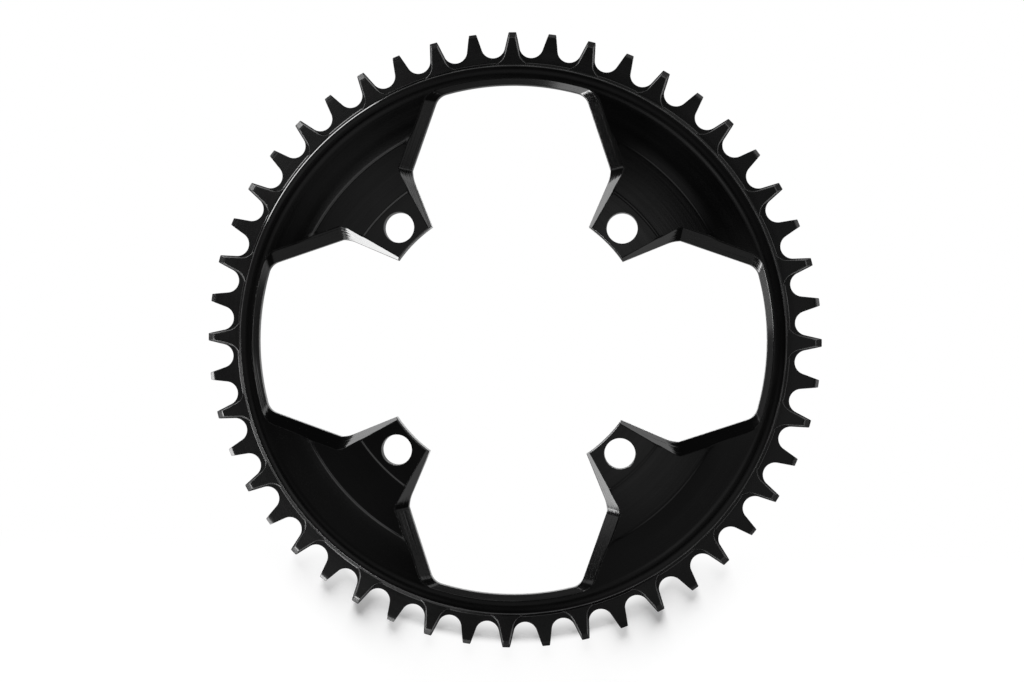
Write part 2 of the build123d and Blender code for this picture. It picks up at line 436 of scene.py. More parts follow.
def mirrored(part, axis, about=0.0):
    """A lot of points and quads mirrored along an axis, its quads turned to face outwards still."""
    points = part[0].copy()
    points[:, axis] = 2 * about - points[:, axis]
    return points, part[1][:, ::-1]


def spun(part, count, turn):
    """Copies of a lot of points and quads turned about the Z axis in equal steps."""
    return joined([(turned(part[0], i * turn), part[1]) for i in range(count)])


def make_mesh(name, part, climb=None):
    """Mesh of a lot of points and quads, with its doubles merged and its faces outwards. Where
    given, each point's climb up the bevel is kept as an attribute."""
    points, quads = part
    mesh = bpy.data.meshes.new(name)
    mesh.vertices.add(len(points))
    mesh.vertices.foreach_set("co", points.astype(np.float32).ravel())
    mesh.loops.add(quads.size)
    mesh.loops.foreach_set("vertex_index", quads.astype(np.int32).ravel())
    mesh.polygons.add(len(quads))
    mesh.polygons.foreach_set("loop_start", np.arange(0, quads.size, 4, dtype=np.int32))
    if climb is not None:
        kept = mesh.attributes.new(CLIMB, "FLOAT", "POINT")
        kept.data.foreach_set("value", climb.astype(np.float32))
    mesh.update(calc_edges=True)
    shell = bmesh.new()
    shell.from_mesh(mesh)
    bmesh.ops.remove_doubles(shell, verts=shell.verts, dist=MERGED_WITHIN)
    bmesh.ops.dissolve_degenerate(shell, edges=shell.edges, dist=SLIVER_UNDER)
    if shell.calc_volume(signed=True) < 0:
        bmesh.ops.reverse_faces(shell, faces=shell.faces)
    shell.to_mesh(mesh)
    shell.free()
    return mesh


def place(name, mesh, material):
    """Puts a finished mesh into the scene as a piece that rides on the ring's body."""
    mesh.shade_smooth()
    mesh.set_sharp_from_angle(angle=SHARP_FROM)
    mesh.materials.clear()
    mesh.materials.append(material)
    piece = bpy.data.objects.new(name, mesh)
    bpy.context.scene.collection.objects.link(piece)
    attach(piece, CARRIER)
    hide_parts(NODE)


# Teeth


def tooth_frame(teeth, body):
    """Circles, heights and key points of one tooth whose centre line is the X axis."""
    gap_half = math.pi / teeth.count
    pitch_r = teeth.pitch / (2 * math.sin(gap_half))
    normal = polar(1.0, math.pi / 2 - teeth.flank)
    seat = polar(pitch_r, gap_half)
    lip_r = pitch_r - teeth.seat_r - body.shelf
    flare_x = lip_r - teeth.dip + teeth.flare_r + teeth.ledge
    foot = seat - teeth.seat_r * normal
    flare_y = foot[1] + (teeth.flare_r - (flare_x - foot[0]) * normal[0]) / normal[1]
    flare = np.array([flare_x, flare_y])
    along = flare @ polar(1.0, gap_half)
    reach = teeth.flare_r + teeth.ledge
    return SimpleNamespace(
        gap_half=gap_half, tip_x=HIGH.x, middle=teeth.wide / 2, lip_r=lip_r,
        top=teeth.wide / 2 + teeth.narrow / 2, normal=normal, seat=seat, foot=foot, flare=flare,
        under_r=along - math.sqrt(along**2 - flare @ flare + reach**2))


def tooth_outline(teeth, at):
    """Half of a tooth's outline with its outward normals: flat tip, rounded corner, straight
    flank, then half of the roller seat, each as points spaced along it."""
    radius = teeth.tip_round
    centre_x = at.tip_x - radius
    centre_y = at.foot[1] - (radius + (centre_x - at.foot[0]) * at.normal[0]) / at.normal[1]
    flank_turn = math.pi / 2 - teeth.flank
    tip = line((at.tip_x, 0.0), (at.tip_x, centre_y), TIP_POINTS)[:-1]
    corner_turns = np.linspace(0.0, flank_turn, TIP_CORNER_POINTS)
    corner = (centre_x, centre_y) + polar(radius, corner_turns)
    flank = line(corner[-1], at.foot, FLANK_POINTS)[1:]
    turns = np.linspace(math.pi + flank_turn, math.pi + at.gap_half, SEAT_POINTS)[1:]
    seat = at.seat + polar(teeth.seat_r, turns)
    points = np.concatenate([tip, corner, flank, seat])
    normals = np.concatenate([
        np.tile((1.0, 0.0), (len(tip), 1)), polar(1.0, corner_turns),
        np.tile(at.normal, (len(flank), 1)), -polar(1.0, turns)])
    return points, normals, len(seat)


def pad_outline(teeth, at, points, normals, seats):
    """Path that the pad's side follows: the tooth's outline down its flank, then straight on
    and round an arc about the flare's centre until the middle of the gap."""
    end = polar(at.under_r, at.gap_half) - at.flare
    first = math.pi + math.pi / 2 - teeth.flank
    last = math.atan2(end[1], end[0]) % (2 * math.pi)
    straight = seats // 4
    turns = np.linspace(first, last, seats - straight)
    run = line(at.foot, at.flare + polar(teeth.flare_r, first), straight + 1)[1:]
    bend = at.flare + polar(teeth.flare_r, turns)
    side = np.tile(at.normal, (straight, 1))
    return (np.concatenate([points[:-seats], run, bend]),
            np.concatenate([normals[:-seats], side, -polar(1.0, turns)]))


def tip_slope(tip_x, reach, thickness, tip_thickness, middle):
    """Height of the bevel at a tip: a plane that falls from the tooth's face to its tip."""
    fall = (thickness - tip_thickness) / 2 / reach
    return lambda x: middle + thickness / 2 - (x - tip_x + reach) * fall


def wall_rows(points, normals, level, middle, edge):
    """Rows from a tooth's middle plane up its side and over the softened edge of its face."""
    inner = points - edge * normals
    top = level(points)
    before = lifted(points, top - edge)
    rows = [lifted(points, middle), lifted(points, top - 2 * edge)]
    rows += rounded_edge(before, lifted(points, top), lifted(inner, level(inner)), EDGE_ROWS)
    return rows


def wide_quarter(teeth, at):
    """Front quarter of a wide tooth: side, ledge, sloping pad side, softened edge, pad top.
    Heights are the lesser of each step's own height and the bevel at the tip."""
    slope = tip_slope(at.tip_x, teeth.wide_tip, teeth.wide, teeth.wide_tip_thickness, at.middle)
    edge = teeth.edge_round
    face = at.middle + teeth.wide / 2

    def ledge_level(p):
        return soft_min(at.top, slope(p[:, 0]), edge / 4)

    def pad_level(p):
        return soft_min(face, slope(p[:, 0]), edge / 2)

    points, normals, seats = tooth_outline(teeth, at)
    path, path_normals = pad_outline(teeth, at, points, normals, seats)
    base = path - teeth.ledge * path_normals
    inset = np.full(len(path), teeth.ledge + (face - at.top) * math.tan(teeth.draft))
    for _ in range(INSET_ROUNDS):
        rim = path - inset[:, None] * path_normals
        rise = np.maximum(pad_level(rim) - at.top, 0.0)
        inset = teeth.ledge + rise * math.tan(teeth.draft)
    rim = path - inset[:, None] * path_normals
    low, high = lifted(base, ledge_level(base)), lifted(rim, pad_level(rim))
    fall = np.linalg.norm(high - low, axis=1, keepdims=True)
    near = np.minimum(edge / np.maximum(fall, edge / 10), PAD_EDGE_SHARE)
    before = high + (low - high) * near
    inner = rim - edge * path_normals
    shelf = rim - 2 * edge * path_normals
    middle_line = np.column_stack([shelf[:, 0], np.zeros(len(shelf))])
    rows = wall_rows(points, normals, ledge_level, at.middle, edge)
    apron = points - FLAT_FROM * edge * normals
    rows.append(lifted(apron, ledge_level(apron)))
    pad = [low, *rounded_edge(before, high, lifted(inner, pad_level(inner)), EDGE_ROWS)]
    pad += [lifted(shelf, pad_level(shelf)), lifted(middle_line, pad_level(middle_line))]
    ends = np.array([row[-1] for row in pad])
    floor = ends * (1.0, 1.0, 0.0) + (0.0, 0.0, at.middle)
    return joined([grid(rows + pad), grid([floor, ends])])


def narrow_quarter(teeth, at):
    """Front quarter of a narrow tooth: side, softened edge and flat face, which runs in under
    the lip. Its height is the lesser of the face's and the bevel's at the tip."""
    slope = tip_slope(at.tip_x, teeth.narrow_tip, teeth.narrow, teeth.narrow_tip_thickness,
                      at.middle)
    edge = teeth.edge_round

    def level(p):
        return soft_min(at.top, slope(p[:, 0]), edge / 2)

    points, normals, seats = tooth_outline(teeth, at)
    flank = len(points) - seats
    order = np.r_[:flank, flank - 1:len(points)]
    points, normals = points[order], normals[order]
    shelf = points - FLAT_FROM * edge * normals
    middle_line = np.column_stack([shelf[:flank, 0], np.zeros(flank)])
    under_lip = polar(at.under_r, np.linspace(0.0, at.gap_half, seats + 1))
    inner = np.concatenate([middle_line, under_lip])
    rows = wall_rows(points, normals, level, at.middle, edge)
    rows += [lifted(shelf, level(shelf)), lifted(inner, level(inner))]
    close = [lifted(under_lip, at.top), lifted(under_lip, at.middle)]
    return joined([grid(rows), grid(close)])


def tooth_ring(teeth, body):
    """All the teeth: quarters mirrored to whole teeth, wide and narrow in turn round the ring."""
    at = tooth_frame(teeth, body)
    pair = []
    for quarter, turn in ((wide_quarter(teeth, at), 0.0),
                          (narrow_quarter(teeth, at), 2 * at.gap_half)):
        half = joined([quarter, mirrored(quarter, 2, at.middle)])
        whole = joined([half, mirrored(half, 1)])
        pair.append((turned(whole[0], turn), whole[1]))
    return spun(joined(pair), teeth.count // 2, 4 * at.gap_half)


# Body


def creased_corner(corner, before, way, radius, crease, count):
    """Arc that rounds a corner between a line, which it touches, and a second line that leaves
    the corner along a way, which it meets at a crease. The arc turns by the corner's angle less
    the crease, and starts so far before the corner that it ends on the second line."""
    u = unit(corner - before)
    side = left_of(u)
    turn = math.atan2(side @ way, u @ way)
    swept = np.linspace(0.0, turn - crease, count)[:, None]
    bend = radius * (np.sin(swept) * u + (1 - np.cos(swept)) * side)
    across = left_of(way)
    return corner - (bend[-1] @ across) / (u @ across) * u + bend


def corner_to_circle(point, turn, circle_r, radius, count):
    """Arc that rounds the corner between a line and the circle that it runs out to, from inside.
    Its centre is where the line, moved over by the radius, meets the circle less the radius."""
    side = left_of(polar(1.0, turn))
    centre = line_to_circle(point + side * radius, turn, circle_r - radius)
    first = math.atan2(-side[1], -side[0])
    last = math.atan2(centre[1], centre[0])
    return arc(centre, radius, first, last, count)


def opening_half(o, bolt_r, half_width, half_angle, web_shift, rim_r, end_r, notch, corner):
    """Half of the opening's outline at one arm, whose centre line is the X axis, as six runs of
    points: the arm's end, its side, the notch, the web's edge, the corner and half of the rim's
    arc."""
    count = OPENING_POINTS
    slope = math.tan(o.half_angle)
    lean = polar(1.0, o.web_angle)
    foot = np.array([bolt_r + o.web_start, o.half_width + o.web_start * slope])
    web = foot - web_shift * left_of(lean)
    side = np.array([bolt_r, half_width])
    tab = line_to_circle(side, half_angle, end_r)
    meet = line_crossing(side, half_angle, web, o.web_angle)
    notch_arc = creased_corner(meet, tab, lean, notch, o.notch_crease, count.notch)
    corner_arc = corner_to_circle(web, o.web_angle, rim_r, corner, count.corner)
    last = math.atan2(corner_arc[-1][1], corner_arc[-1][0])
    return [
        polar(end_r, np.linspace(0.0, math.atan2(tab[1], tab[0]), count.end)),
        line(tab, notch_arc[0], count.side),
        notch_arc,
        line(notch_arc[-1], corner_arc[0], count.web),
        corner_arc,
        polar(rim_r, np.linspace(last, math.pi / o.arms, count.rim)),
    ]


def all_round(o, half):
    """One arm's half of something, mirrored and carried round all the arms as a closed loop."""
    other = half[:0:-1] * (1, -1, 1)
    arm = np.concatenate([other, half[:-1]])
    step = 2 * math.pi / o.arms
    return np.concatenate([turned(arm, o.first_arm + i * step) for i in range(o.arms)])


def opening_loops(o, circles):
    """Closed loops round the opening: the wall's upper edge, with the height of the bevel's foot
    there, and the bevel's upper edge at its full height. The foot rises along the arm as its bevel
    narrows, and falls smoothly to nothing through the notch."""
    wall = opening_half(o, circles.bolt_r, o.half_width, o.half_angle, 0.0, circles.opening_r,
                        circles.tab_r, o.notch_r, o.corner_r)
    top = opening_half(o, circles.bolt_r, o.top_half_width, o.top_half_angle, o.web_bevel,
                       circles.opening_r + o.rim_bevel, circles.tab_r + o.tab_top,
                       o.notch_r + o.notch_spread, o.corner_r + o.corner_spread)
    across = polar(1.0, o.top_half_angle + math.pi / 2)
    beside = (circles.bolt_r, o.top_half_width)
    arm_rise = [1 - (run - beside) @ across / o.arm_bevel for run in wall[:2]]
    tab_rise = np.minimum(1 - o.tab_top / o.tab_bevel, arm_rise[0])
    fade = np.linspace(1, 0, len(wall[2]))
    notch_rise = arm_rise[1][-1] * fade**2 * (3 - 2 * fade)
    level = np.zeros(sum(len(run) for run in wall[3:]))
    rise = np.concatenate([tab_rise, arm_rise[1], notch_rise, level])
    foot_z = circles.web_z - o.depth
    wall_loop = all_round(o, lifted(np.concatenate(wall), foot_z + o.depth * rise))
    top_loop = all_round(o, lifted(np.concatenate(top), circles.web_z))
    return wall_loop, top_loop


def body_circles(teeth, b, o):
    """Radii and heights of the turned face, the lip and the back."""
    at = tooth_frame(teeth, b)
    front = HIGH.z
    bolt_r = BOLTS["pcd_mm"] * MM / 2
    draft = math.tan(teeth.draft)
    lip_top_r = at.lip_r - (front - at.top) * draft
    back_top = 2 * at.middle - at.top
    back_lip_r = at.lip_r - back_top * draft
    crest_r = lip_top_r - b.lip_bevel
    return SimpleNamespace(
        at=at, front=front, draft=draft, bolt_r=bolt_r, tab_r=bolt_r - o.tab_end,
        lip_top_r=lip_top_r, crest_r=crest_r, crest_before=crest_r - CREST_RUN * b.lip_round,
        opening_r=at.lip_r - b.rim, crease_r=lip_top_r - b.dish,
        seat_r=bolt_r + b.seat_margin, web_z=front - b.web_drop, back_lip_r=back_lip_r,
        back_top=back_top, rim_r=back_lip_r - b.rim_back)


def step_down(b, start_r, radius):
    """Share of a small step that is left at a radius: all inside it, none outside, and an even
    slope between, with a parabola at either end."""
    s = STEP_SOFT
    t = np.clip((radius - start_r) / b.step_width, -s, 1 + s)
    late = np.where(t > 1 - s, 1 - (1 + s - t) ** 2 / (4 * s), t)
    return 1 - np.where(t < s, (t + s) ** 2 / (4 * s), late)


def face_height(b, c, radius):
    """Height of the turned face at a radius: bolt seats, a small step down to the flat web,
    another down to the dish, which falls and rises as parabolas."""
    floor = c.front - b.dish_depth
    crease = c.web_z - b.crease_drop
    fall = np.clip(1 - (radius - c.crease_r - b.step_width) / b.dish_inner, 0, 1)
    rise = np.clip(1 - (c.crest_r - radius) / b.dish_outer, 0, None)
    dish = floor + (crease - floor) * fall**2 + b.dish_depth * rise**2
    return (dish + b.crease_drop * step_down(b, c.crease_r, radius)
            + b.seat_rise * step_down(b, c.seat_r, radius))


def face_radii(b, c):
    """Radii of the rows on the turned face, close where it bends and wide apart where it is flat:
    each stop has its first radius, its last and its number of rows."""
    step, soft = b.step_width, STEP_SOFT
    stops = (
        (c.tab_r, c.seat_r - step, 5),
        (c.seat_r - soft * step, c.seat_r + (1 + soft) * step, 8),
        (c.seat_r + 2 * step, c.crease_r - step, 5),
        (c.crease_r - soft * step, c.crease_r + (1 + soft) * step, 8),
        (c.crease_r + 2 * step, c.crease_r + step + b.dish_inner, 8),
        (c.crease_r + 4 * step + b.dish_inner, c.crest_r - b.dish_outer, 4),
        (c.crest_r - 0.9 * b.dish_outer, c.crest_before, 8),
    )
    return np.concatenate([np.linspace(*stop) for stop in stops])


def ring_body(teeth, b, o):
    """Web, rim and arms: a closed section carried round the opening. From the back it climbs the
    opening's wall and bevel, follows the turned face out along a ray, and comes down the lip."""
    c = body_circles(teeth, b, o)
    wall, top = opening_loops(o, c)

    def on_face(plan):
        return lifted(plan, face_height(b, c, np.hypot(plan[:, 0], plan[:, 1])))

    # Where each ruling of the bevel meets the turned face, found by halving
    low, high = np.zeros((len(wall), 1)), np.full((len(wall), 1), RULING_REACH)
    for _ in range(HALVINGS):
        half = (low + high) / 2
        at = wall + half * (top - wall)
        under = at[:, 2:] < on_face(at[:, :2])[:, 2:]
        low, high = np.where(under, half, low), np.where(under, high, half)
    brow = wall + low * (top - wall)
    slope = unit(brow - wall)
    inward = unit((top - wall)[:, :2])
    rise = np.linalg.norm(brow - wall, axis=1, keepdims=True)
    edge = np.minimum(o.edge_round, rise * EDGE_SHARE)
    up = np.array([0.0, 0.0, 1.0])

    def along_rays(start, radii, height):
        reach = np.hypot(start[:, 0], start[:, 1])
        rays = start[:, :2] / reach[:, None]
        rows = []
        for radius in radii:
            at_r = np.maximum(radius, reach)
            rows.append(lifted(rays * at_r[:, None], height(at_r)))
        return rows

    def circle(rays, radius, z):
        return lifted(rays * radius, z)

    # Back plane, opening wall and bevel
    back_edge = b.back_round
    floor = wall * (1, 1, 0) + (0, 0, b.relief)
    behind = lifted(wall[:, :2] + back_edge * inward, b.relief)
    rows = [lifted(wall[:, :2] + 2 * back_edge * inward, b.relief)]
    rows += rounded_edge(behind, floor, floor + back_edge * up, EDGE_ROWS)
    rows += [floor + 2 * back_edge * up, wall - 2 * edge * up]
    first = len(rows)
    rows += rounded_edge(wall - edge * up, wall, wall + edge * slope, EDGE_ROWS)
    rows += [wall + 2 * edge * slope, (wall + brow) / 2, brow - 2 * edge * slope]
    beyond = on_face(brow[:, :2] + edge * inward)
    rows += rounded_edge(brow - edge * slope, brow, beyond, EDGE_ROWS)
    last = len(rows)
    rows.append(on_face(brow[:, :2] + 2 * edge * inward))

    # Turned face, lip and the wall below it, which ends inside the tooth ring
    start = lifted(top[:, :2] + MM * inward, 0.0)
    rows += along_rays(start, face_radii(b, c), lambda r: face_height(b, c, r))
    rays = unit(rows[-1][:, :2])
    foot = np.array([c.at.lip_r, c.at.top])
    on_wall, on_shelf = foot + b.foot_round * np.array([(-c.draft, 1.0), (1.0, 0.0)])
    lip = [(c.crest_before, face_height(b, c, c.crest_before)), (c.crest_r, c.front),
           (c.lip_top_r + b.lip_bevel * c.draft, c.front - b.lip_bevel), on_wall]
    bend = np.array(rounded_edge(on_wall[None], foot[None], on_shelf[None], FOOT_ROWS))[1:, 0]
    sunk = on_shelf + b.foot_round * SUNK
    for radius, z in (*softened(lip, b.lip_round)[1:], *bend, sunk):
        rows.append(circle(rays, radius, z))

    # Back lip, the land that the ring lies on, and the relief behind the web
    back_rays = unit(rows[0][:, :2])
    land = [(c.at.lip_r + teeth.ledge * c.draft, c.back_top + teeth.ledge),
            (c.back_lip_r, 0.0), (c.rim_r, 0.0), (c.rim_r - b.relief, b.relief)]
    rows += [circle(back_rays, *point) for point in softened(land, back_edge)]
    back_radii = np.linspace(c.rim_r - b.relief - 2 * back_edge, c.tab_r, BACK_ROWS)
    rows += along_rays(rows[0], back_radii, lambda r: np.full(len(r), b.relief))
    points = np.concatenate(rows)

    # Climb of the bevel's rows: their distance from its foot along the ruling
    climb = np.zeros((len(rows), len(wall)))
    climb[first:last] = [np.maximum(((row - wall) * slope).sum(1), 0.0)
                         for row in rows[first:last]]
    quads = quads_of(len(rows), len(wall), closed_rows=True, closed_columns=True)
    return (points, quads), climb.ravel()


def bolt_cutter(b, o, c):
    """Cutters for the bolt holes: a round profile, wider at both faces by the broken edge, turned
    about each hole's own axis."""
    hole_r = BOLTS["hole_r_mm"] * MM
    broken = o.hole_round
    seat_z = c.web_z + b.seat_rise
    over = MM
    profile = np.array([
        (0.0, b.relief - over), (hole_r + broken + over, b.relief - over),
        (hole_r, b.relief + broken), (hole_r, seat_z - broken),
        (hole_r + broken + over, seat_z + over), (0.0, seat_z + over)])
    turns = np.linspace(0, 2 * math.pi, HOLE_POINTS, endpoint=False)
    rings = [lifted(polar(r, turns), z) for r, z in profile]
    centre = np.append(polar(c.bolt_r, o.first_arm), 0.0)
    points = np.concatenate(rings) + centre
    quads = quads_of(len(rings), len(turns), closed_columns=True)
    return spun((points, quads), o.arms, 2 * math.pi / o.arms)


def drilled(mesh, cutter):
    """The mesh with the cutter taken away from it."""
    blank = bpy.data.objects.new("blank", mesh)
    drill = bpy.data.objects.new("drill", cutter)
    for helper in (blank, drill):
        bpy.context.scene.collection.objects.link(helper)
    cut = blank.modifiers.new("Bolt holes", "BOOLEAN")
    cut.object = drill
    cut.operation = "DIFFERENCE"
    cut.solver = "EXACT"
    graph = bpy.context.evaluated_depsgraph_get()
    result = bpy.data.meshes.new_from_object(blank.evaluated_get(graph))
    for helper in (blank, drill):
        bpy.data.objects.remove(helper)
    if len(result.polygons) <= len(mesh.polygons):
        raise RuntimeError("the bolt holes were not cut")
    return result


# Finish


class Nodes:
    """A node tree, with short ways to add nodes to it and to feed their inputs."""

    def __init__(self, tree):
        self.tree = tree

    def feed(self, socket, value):
        """Links an input to another node's output, or sets it to a plain value."""
        if isinstance(value, bpy.types.NodeSocket):
            self.tree.links.new(value, socket)
        else:
            socket.default_value = value

    def add(self, kind, inputs=(), **settings):
        """New node with its settings made and then its inputs fed; gives its outputs."""
        node = self.tree.nodes.new("ShaderNode" + kind)
        for setting, value in settings.items():
            setattr(node, setting, value)
        for socket, value in dict(inputs).items():
            self.feed(node.inputs[socket], value)
        return node.outputs

    def math(self, operation, *values):
        """Result of a sum on sockets or plain numbers."""
        return self.add("Math", enumerate(values), operation=operation)[0]

    def scaled(self, vector, factor):
        """A vector times a factor."""
        return self.add("VectorMath", {0: vector, "Scale": factor}, operation="SCALE")[0]

    def length(self, vector):
        """Length of a vector."""
        return self.add("VectorMath", {0: vector}, operation="LENGTH")["Value"]

    def noise(self, vector, detail):
        """Noise over a vector that is already in units of the pattern; values round one half."""
        return self.add("TexNoise", {"Vector": vector, "Scale": 1.0, "Detail": detail})[0]

    def fade(self, value, start, end, most=1.0):
        """Smooth change from nothing, where a value is at the start, to the most at the end."""
        inputs = {"Value": value, "From Min": start, "From Max": end, "To Max": most}
        return self.add("MapRange", inputs, interpolation_type="SMOOTHSTEP")["Result"]


def new_group(name, inputs, outputs):
    """Empty shader node group with named sockets: its nodes, what comes in and what goes out."""
    group = bpy.data.node_groups.new(name, "ShaderNodeTree")
    for in_out, sockets in (("INPUT", inputs), ("OUTPUT", outputs)):
        for socket, kind in sockets.items():
            group.interface.new_socket(name=socket, in_out=in_out,
                                       socket_type="NodeSocket" + kind)
    given = group.nodes.new("NodeGroupInput").outputs
    result = group.nodes.new("NodeGroupOutput").inputs
    return Nodes(group), given, result


def tool_marks_group():
    """Marks of a cutter: noise that changes quickly across its path and slowly along it. Height
    is the profile of the marks, and Dulling says how rough each broad band of them is."""
    name = "tool_marks"
    if name in bpy.data.node_groups:
        return bpy.data.node_groups[name]
    nodes, given, result = new_group(
        name, {"Across": "Float", "Place": "Vector", "Spacing": "Float", "Run": "Float"},
        {"Height": "Float", "Dulling": "Float"})
    across = nodes.math("DIVIDE", given["Across"], given["Spacing"])
    place_along = nodes.scaled(given["Place"], nodes.math("DIVIDE", 1.0, given["Run"]))
    along = nodes.add("SeparateXYZ", {0: place_along})
    for output, stretch, detail in (("Height", 1.0, 2.0), ("Dulling", BANDS_PER_MARK, 1.0)):
        stretched = nodes.math("MULTIPLY", across, stretch)
        path = nodes.add("CombineXYZ", {"X": stretched, "Y": along["X"], "Z": along["Y"]})[0]
        nodes.feed(result[output], nodes.noise(path, detail))
    return nodes.tree


def oxide_grain_group():
    """Skin of oxide: Height is its fine even grain, and Cloud its broad soft patches."""
    name = "oxide_grain"
    if name in bpy.data.node_groups:
        return bpy.data.node_groups[name]
    nodes, given, result = new_group(
        name, {"Place": "Vector", "Grain": "Float", "Patch": "Float"},
        {"Height": "Float", "Cloud": "Float"})
    for output, size, detail in (("Height", "Grain", 2.0), ("Cloud", "Patch", 3.0)):
        vector = nodes.scaled(given["Place"], nodes.math("DIVIDE", 1.0, given[size]))
        nodes.feed(result[output], nodes.noise(vector, detail))
    return nodes.tree


def tool_marks(nodes, finish, place_at, across, spacing):
    """Marks of a cutter placed in a material: what they run across and how far apart they are."""
    inputs = {"Across": across, "Place": place_at, "Spacing": spacing, "Run": finish.mark_run}
    return nodes.add("Group", inputs, node_tree=tool_marks_group())


def radius_of(nodes, place_at):
    """Distance of a place from the ring's axis: the length of its x and y."""
    flat = nodes.add("VectorMath", {0: place_at, 1: (1.0, 1.0, 0.0)}, operation="MULTIPLY")[0]
    return nodes.length(flat)


def anodised(name, finish, black, pale, roughness, marks):
    """Material of the anodised skin. Its colour goes from black to pale with the clouds of the
    dye, its roughness follows the marks and the clouds, and its bump the marks and the grain.
    marks is a function that is given the nodes and the place, and gives the marks' height and
    dulling."""
    material = bpy.data.materials.new(name)
    material.use_nodes = True
    nodes = Nodes(material.node_tree)
    place_at = nodes.add("TexCoord")["Object"]
    height, dulling = marks(nodes, place_at)
    sizes = {"Place": place_at, "Grain": finish.grain, "Patch": finish.cloud}
    grain = nodes.add("Group", sizes, node_tree=oxide_grain_group())
    shades = {"A": (*black, 1.0), "B": (*pale, 1.0), "Factor": grain["Cloud"]}
    uneven = nodes.math("ADD", dulling, grain["Cloud"])
    least = roughness - finish.unevenness
    relief = nodes.math("MULTIPLY_ADD", grain["Height"], GRAIN_SHARE, height)
    bump = nodes.add("Bump", {"Height": relief, "Distance": finish.mark_depth})
    skin = nodes.tree.nodes["Principled BSDF"].inputs
    nodes.feed(skin["IOR"], finish.ior)
    nodes.feed(skin["Base Color"], nodes.add("Mix", shades, data_type="RGBA")["Result"])
    nodes.feed(skin["Roughness"], nodes.math("MULTIPLY_ADD", uneven, finish.unevenness, least))
    nodes.feed(skin["Normal"], bump["Normal"])
    return material


def turned_and_milled(finish):
    """Skin of the body: faint turned rings on its faces, and streaks along the milled bevels."""

    def marks(nodes, place_at):
        climb = nodes.add("Attribute", attribute_name=CLIMB)["Fac"]
        rings = tool_marks(nodes, finish, place_at, radius_of(nodes, place_at), finish.turning)
        streaks = tool_marks(nodes, finish, place_at, climb, finish.milling)
        on_bevel = nodes.fade(climb, *ON_BEVEL)
        blends = []
        for output, faint in (("Height", RING_SHARE), ("Dulling", 1.0)):
            on_face = nodes.math("MULTIPLY", rings[output], faint)
            both = {"Factor": on_bevel, "A": on_face, "B": streaks[output]}
            blends.append(nodes.add("Mix", both)["Result"])
        return blends

    return anodised("anodised_body", finish, finish.black, finish.pale, finish.roughness, marks)


def cut_teeth(finish):
    """Skin of the teeth: fine marks at equal distances from the axis, as the cutter left them."""

    def marks(nodes, place_at):
        cuts = tool_marks(nodes, finish, place_at, radius_of(nodes, place_at), finish.hobbing)
        return nodes.math("MULTIPLY", cuts["Height"], CUT_SHARE), cuts["Dulling"]

    return anodised("anodised_teeth", finish, finish.tooth_black, finish.tooth_pale,
                    finish.tooth_roughness, marks)


# Studio


def table_paint(studio):
    """White of the table: what the lamps give it plus a glow that the camera and reflections see.
    To the camera alone it is painted plain white inside the ring, above and beside it, and beyond
    its lowest teeth, which hides the real shadow there, so its shadow shows in the gaps of the
    lower teeth and in two soft lobes."""
    paint = bpy.data.materials.new("table_white")
    paint.use_nodes = True
    nodes = Nodes(paint.node_tree)
    nodes.tree.nodes.clear()
    path = nodes.add("LightPath")
    to_camera = seen = path["Is Camera Ray"]
    for ray in ("Is Glossy Ray", "Is Transmission Ray"):
        seen = nodes.math("MAXIMUM", seen, path[ray])
    matt = nodes.add("BsdfDiffuse", {"Color": (*studio.table, 1.0)})[0]
    glow = nodes.add("Emission", {"Strength": nodes.math("MULTIPLY", seen, studio.glow)})[0]
    lit = nodes.add("AddShader", {0: matt, 1: glow})[0]
    place_on = nodes.add("TexCoord")["Object"]
    away = nodes.length(place_on)
    parts = nodes.add("SeparateXYZ", {0: place_on})
    # Painted light: where these masks are full, camera rays see plain white emission in place of
    # the table's real shadow.
    inside = nodes.fade(away, studio.shadow_from, studio.shadow_from - PAINTED_CLEAR_INWARD)
    above = nodes.fade(parts["Y"], *PAINTED_CLEAR_ABOVE)
    middle = nodes.fade(nodes.math("ABSOLUTE", parts["X"]), *PAINTED_CLEAR_MIDDLE, PAINTED_CLEAR_MIDDLE_MOST)
    below = nodes.math("MULTIPLY", middle, nodes.fade(away, *PAINTED_CLEAR_BEYOND))
    clear = nodes.math("MAXIMUM", nodes.math("MAXIMUM", inside, above), below)
    # Painted white: plain emission that stands in for the lit table where its real shadow would
    # show.
    white = nodes.add("Emission")[0]
    painted_white_share = nodes.math("MULTIPLY", clear, to_camera)
    mix = nodes.add("MixShader", {"Fac": painted_white_share, 1: lit, 2: white})[0]
    nodes.add("OutputMaterial", {"Surface": mix})
    return paint


def way_up(tilt, turn):
    """Way from the ring at a tilt from straight above and a turn round the table: x is sin(tilt)
    cos(turn), y is sin(tilt) sin(turn) and z is cos(tilt)."""
    return (math.sin(tilt) * math.cos(turn), math.sin(tilt) * math.sin(turn), math.cos(tilt))


def with_patch(nodes, light, way, turn, tilt, inner, outer, brightness):
    """Light of the room with one more soft patch, full up to an inner angle from the patch's
    middle and gone beyond an outer one. All angles are in degrees."""
    turn, tilt, inner, outer = (math.radians(a) for a in (turn, tilt, inner, outer))
    towards = nodes.add("VectorMath", {0: way, 1: way_up(tilt, turn)}, operation="DOT_PRODUCT")
    patch = nodes.fade(towards["Value"], math.cos(outer), math.cos(inner), brightness)
    return nodes.add("VectorMath", {0: light, 1: patch}, operation="ADD")[0]


